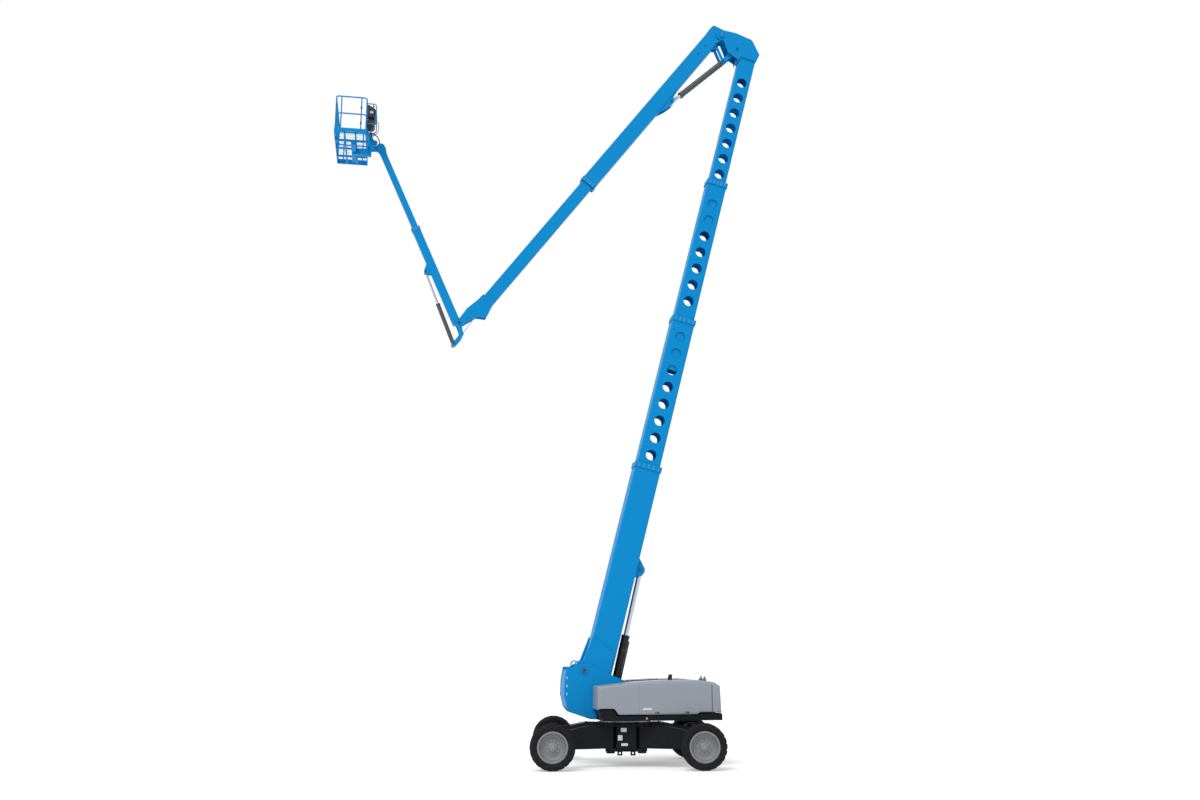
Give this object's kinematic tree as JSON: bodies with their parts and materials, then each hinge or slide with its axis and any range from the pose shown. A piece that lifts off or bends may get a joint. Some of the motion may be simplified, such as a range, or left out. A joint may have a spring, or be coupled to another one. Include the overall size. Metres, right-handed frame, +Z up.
{
  "type": "articulating boom lift",
  "caption": "Self-propelled lift with a telescoping perforated main boom, elbow, telescoping upper boom, jib and work platform on a wheeled X chassis.",
  "frame": {"origin": "centre of the bounding box on the ground; the slew axis stands at x = 2.000 m, y = 0", "axes": "+Z up, +X the way the main boom leans, -Y the side shown in the picture; the booms lie in the XZ plane"},
  "size_m": [12.55, 4.5674, 21.7142],
  "materials": {
    "bare_steel": "machined",
    "barrel_black": "gloss",
    "barrel_grey": "satin",
    "block_grey": "cast",
    "boom_blue": "gloss",
    "chassis_black": "satin",
    "console_black": "matt",
    "hood_grey": "gloss",
    "lamp_teal": "gloss",
    "rim_grey": "satin",
    "rod_chrome": "polished",
    "tyre": "matt"
  },
  "bodies": {
    "chassis": {"chassis_frame": "chassis_black", "slew_ring": "bare_steel"},
    "arm_left_near": {"axle_arm_left_near": "chassis_black"},
    "steer_left_near": {"knuckle_left_near": "chassis_black"},
    "wheel_left_near": {"tyre_left_near": "tyre", "rim_left_near": "rim_grey"},
    "arm_left_far": {"axle_arm_left_far": "chassis_black"},
    "steer_left_far": {"knuckle_left_far": "chassis_black"},
    "wheel_left_far": {"tyre_left_far": "tyre", "rim_left_far": "rim_grey"},
    "arm_right_near": {"axle_arm_right_near": "chassis_black"},
    "steer_right_near": {"knuckle_right_near": "chassis_black"},
    "wheel_right_near": {"tyre_right_near": "tyre", "rim_right_near": "rim_grey"},
    "arm_right_far": {"axle_arm_right_far": "chassis_black"},
    "steer_right_far": {"knuckle_right_far": "chassis_black"},
    "wheel_right_far": {"tyre_right_far": "tyre", "rim_right_far": "rim_grey"},
    "turntable": {"turntable_deck": "chassis_black", "tower": "boom_blue", "engine_block": "block_grey", "tank_block": "block_grey"},
    "hood_a": {"hood_near": "hood_grey", "exhaust_stub": "barrel_black", "lamp_pair": "lamp_teal"},
    "hood_b": {"hood_far": "hood_grey"},
    "primary_base": {"boom_base": "boom_blue"},
    "primary_mid_1": {"boom_mid_1": "boom_blue"},
    "primary_mid_2": {"boom_mid_2": "boom_blue"},
    "primary_tip": {"boom_tip": "boom_blue"},
    "lift_cylinder": {"lift_barrel": "barrel_black"},
    "lift_piston": {"lift_rod": "rod_chrome"},
    "upper_boom": {"upper_outer": "boom_blue"},
    "upper_extension": {"upper_inner": "boom_blue"},
    "rocker": {"elbow_rocker": "boom_blue"},
    "links": {"elbow_links": "boom_blue"},
    "elbow_cylinder": {"elbow_barrel": "barrel_grey"},
    "elbow_piston": {"elbow_rod": "rod_chrome"},
    "jib": {"jib_outer": "boom_blue"},
    "jib_extension": {"jib_inner": "boom_blue"},
    "jib_cylinder": {"jib_barrel": "barrel_grey"},
    "jib_piston": {"jib_rod": "rod_chrome"},
    "level_head": {"level_bracket": "boom_blue"},
    "platform": {"platform_support": "boom_blue", "platform_floor": "boom_blue", "platform_rails": "boom_blue", "console": "console_black", "console_guard": "boom_blue"}
  },
  "joints": [
    {"name": "slew", "type": "hinge", "parent": "chassis", "child": "turntable", "pos_m": [1.99994, 0, 1.17], "axis": [0, 0, 1], "continuous": true},
    {"name": "swing_left_near", "type": "hinge", "parent": "chassis", "child": "arm_left_near", "pos_m": [1.48955, -0.68564, 0.7], "axis": [0, 0, 1], "range_deg": [-26, 0]},
    {"name": "steer_left_near", "type": "hinge", "parent": "arm_left_near", "child": "steer_left_near", "pos_m": [-0.06605, -1.01232, 0.5775], "axis": [0, 0, 1], "range_deg": [-35, 35]},
    {"name": "roll_left_near", "type": "hinge", "parent": "steer_left_near", "child": "wheel_left_near", "pos_m": [-0.12973, -1.46537, 0.5775], "axis": [0.1392, 0.9903, 0], "continuous": true},
    {"name": "swing_left_far", "type": "hinge", "parent": "chassis", "child": "arm_left_far", "pos_m": [1.69831, 0.79976, 0.7], "axis": [0, 0, -1], "range_deg": [-26, 0]},
    {"name": "steer_left_far", "type": "hinge", "parent": "arm_left_far", "child": "steer_left_far", "pos_m": [0.29301, 1.54257, 0.5775], "axis": [0, 0, -1], "range_deg": [-35, 35]},
    {"name": "roll_left_far", "type": "hinge", "parent": "steer_left_far", "child": "wheel_left_far", "pos_m": [0.35668, 1.99562, 0.5775], "axis": [0.1392, 0.9903, 0], "continuous": true},
    {"name": "swing_right_near", "type": "hinge", "parent": "chassis", "child": "arm_right_near", "pos_m": [2.30157, -0.79976, 0.7], "axis": [0, 0, -1], "range_deg": [-26, 0]},
    {"name": "steer_right_near", "type": "hinge", "parent": "arm_right_near", "child": "steer_right_near", "pos_m": [3.70687, -1.54257, 0.5775], "axis": [0, 0, -1], "range_deg": [-35, 35]},
    {"name": "roll_right_near", "type": "hinge", "parent": "steer_right_near", "child": "wheel_right_near", "pos_m": [3.6432, -1.99562, 0.5775], "axis": [0.1392, 0.9903, 0], "continuous": true},
    {"name": "swing_right_far", "type": "hinge", "parent": "chassis", "child": "arm_right_far", "pos_m": [2.51033, 0.68564, 0.7], "axis": [0, 0, 1], "range_deg": [-26, 0]},
    {"name": "steer_right_far", "type": "hinge", "parent": "arm_right_far", "child": "steer_right_far", "pos_m": [4.06593, 1.01232, 0.5775], "axis": [0, 0, 1], "range_deg": [-35, 35]},
    {"name": "roll_right_far", "type": "hinge", "parent": "steer_right_far", "child": "wheel_right_far", "pos_m": [4.12961, 1.46537, 0.5775], "axis": [0.1392, 0.9903, 0], "continuous": true},
    {"name": "hood_near_lift", "type": "hinge", "parent": "turntable", "child": "hood_a", "pos_m": [3.19994, -0.4, 2.172], "axis": [-1, 0, 0], "range_deg": [0, 50]},
    {"name": "hood_far_lift", "type": "hinge", "parent": "turntable", "child": "hood_b", "pos_m": [3.19994, 0.4, 2.172], "axis": [1, 0, 0], "range_deg": [0, 50]},
    {"name": "primary_lift", "type": "hinge", "parent": "turntable", "child": "primary_base", "pos_m": [0.82994, 0, 2.43], "axis": [0, -1, 0], "range_deg": [-75.7, 3]},
    {"name": "primary_slide_1", "type": "slide", "parent": "primary_base", "child": "primary_mid_1", "axis": [0.247, 0, 0.969], "range_m": [-4.05, 0]},
    {"name": "primary_slide_2", "type": "slide", "parent": "primary_mid_1", "child": "primary_mid_2", "axis": [0.247, 0, 0.969], "range_m": [-4.05, 0]},
    {"name": "primary_slide_3", "type": "slide", "parent": "primary_mid_2", "child": "primary_tip", "axis": [0.247, 0, 0.969], "range_m": [-3.9, 0]},
    {"name": "elbow", "type": "hinge", "parent": "primary_tip", "child": "upper_boom", "pos_m": [5.08886, 0, 21.38537], "axis": [0, 1, 0], "range_deg": [-22.5, 105]},
    {"name": "upper_slide", "type": "slide", "parent": "upper_boom", "child": "upper_extension", "axis": [-0.6074, 0, -0.7944], "range_m": [-4.45, 0]},
    {"name": "jib_lift", "type": "hinge", "parent": "upper_extension", "child": "jib", "pos_m": [-2.67029, 0, 11.87235], "axis": [0, 1, 0], "range_deg": [-95, 1.5]},
    {"name": "jib_slide", "type": "slide", "parent": "jib", "child": "jib_extension", "axis": [0.4099, 0, -0.9121], "range_m": [0, 2.15]},
    {"name": "platform_level", "type": "hinge", "parent": "jib_extension", "child": "level_head", "pos_m": [-5.16104, 0, 16.91443], "axis": [0, -1, 0], "range_deg": [-60, 40]},
    {"name": "platform_rotate", "type": "hinge", "parent": "level_head", "child": "platform", "pos_m": [-5.32104, 0, 17], "axis": [0, 0, 1], "range_deg": [-90, 90]},
    {"name": "lift_cylinder_pivot", "type": "hinge", "parent": "turntable", "child": "lift_cylinder", "pos_m": [1.59394, 0, 1.4465], "axis": [0, -1, 0], "range_deg": [-75.48, 3.47]},
    {"name": "lift_cylinder_stroke", "type": "slide", "parent": "lift_cylinder", "child": "lift_piston", "axis": [0.2293, 0, 0.9733], "range_m": [-1.531, 0.064]},
    {"name": "elbow_rocker_pivot", "type": "hinge", "parent": "primary_tip", "child": "rocker", "pos_m": [5.55994, 0, 20.97], "axis": [0, -1, 0], "range_deg": [-64.68, 14.25]},
    {"name": "elbow_link_pivot", "type": "hinge", "parent": "upper_boom", "child": "links", "pos_m": [4.92994, 0, 21.025], "axis": [0, -1, 0], "range_deg": [-23.74, 108.97]},
    {"name": "elbow_cylinder_pivot", "type": "hinge", "parent": "upper_boom", "child": "elbow_piston", "pos_m": [3.48994, 0, 19.08], "axis": [0, -1, 0], "range_deg": [-2.48, 9.73]},
    {"name": "elbow_cylinder_stroke", "type": "slide", "parent": "elbow_piston", "child": "elbow_cylinder", "axis": [0.7407, 0, 0.6719], "range_m": [-0.154, 0.707]},
    {"name": "jib_cylinder_pivot", "type": "hinge", "parent": "upper_extension", "child": "jib_cylinder", "pos_m": [-2.81006, 0, 11.27], "axis": [0, -1, 0], "range_deg": [-1.92, 90.34]},
    {"name": "jib_cylinder_stroke", "type": "slide", "parent": "jib_cylinder", "child": "jib_piston", "axis": [-0.3737, 0, 0.9275], "range_m": [-0.902, 0.018]}
  ],
  "couplings": [
    {"joint": "lift_cylinder_pivot", "follows": "primary_lift", "ratio": 0.99045},
    {"joint": "lift_cylinder_stroke", "follows": "primary_lift", "m_per_rad": 1.1564},
    {"joint": "elbow_rocker_pivot", "follows": "elbow", "ratio": -0.61125},
    {"joint": "elbow_link_pivot", "follows": "elbow", "ratio": 1.0331},
    {"joint": "elbow_cylinder_pivot", "follows": "elbow", "ratio": 0.087885},
    {"joint": "elbow_cylinder_stroke", "follows": "elbow", "m_per_rad": 0.38368},
    {"joint": "jib_cylinder_pivot", "follows": "jib_lift", "ratio": -0.94571},
    {"joint": "jib_cylinder_stroke", "follows": "jib_lift", "m_per_rad": 0.54199}
  ]
}
